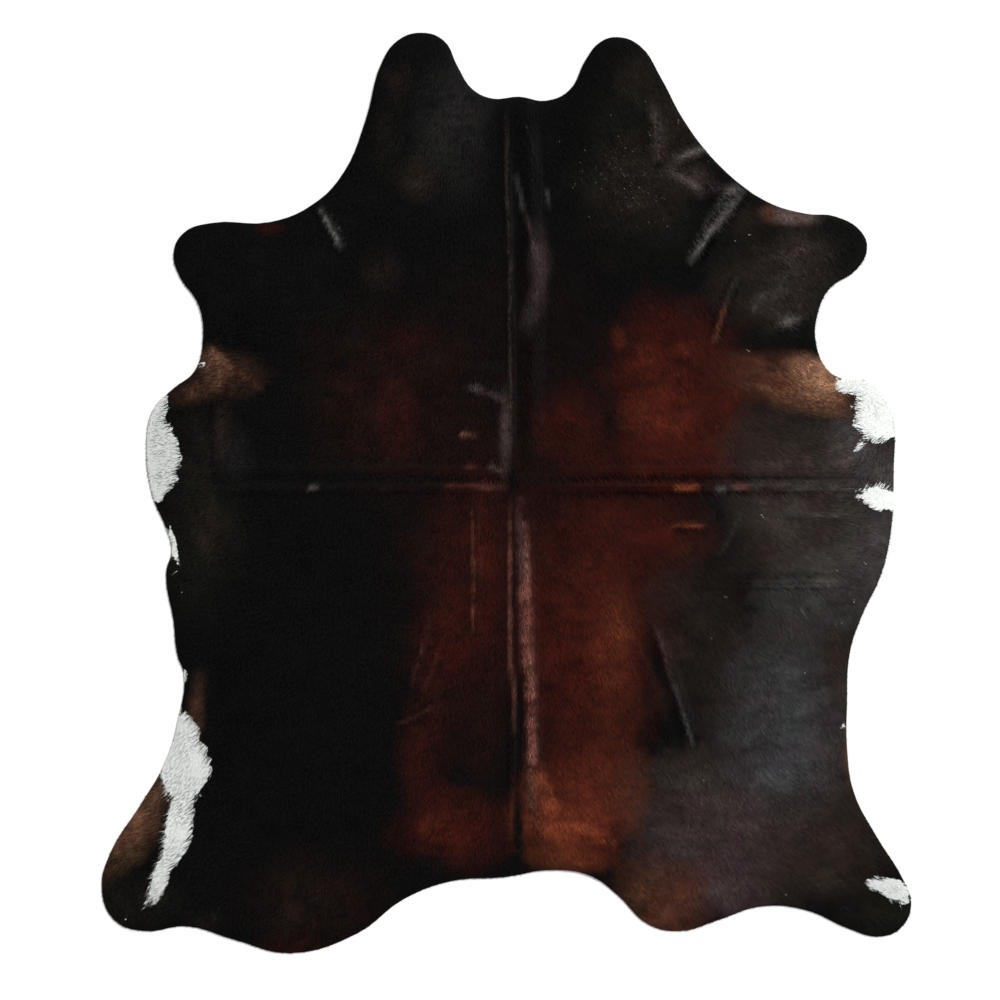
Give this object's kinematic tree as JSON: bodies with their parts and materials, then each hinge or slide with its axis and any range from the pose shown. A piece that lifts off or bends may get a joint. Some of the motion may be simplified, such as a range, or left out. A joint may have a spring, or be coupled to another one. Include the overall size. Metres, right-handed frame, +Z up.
{
  "type": "cowhide rug",
  "caption": "Whole hair-on cowhide laid flat as a rug: neck lobes, short forelegs, flared hind legs, tail notch and soft storage folds.",
  "frame": {"origin": "on the floor, under the middle of the hide's bounding box", "axes": "+Z up through the coat, +Y towards the neck, +X to the hide's right-hand legs as seen from above with the neck at the top"},
  "size_m": [1.861, 2.1163, 0.0158],
  "materials": {
    "coat": "short smooth cow hair, near black, red-brown along the back, with small white patches at the edges",
    "skin": "tanned skin: napped suede underneath and a clean cut edge"
  },
  "bodies": {
    "root": {"hide": "coat"}
  },
  "joints": []
}
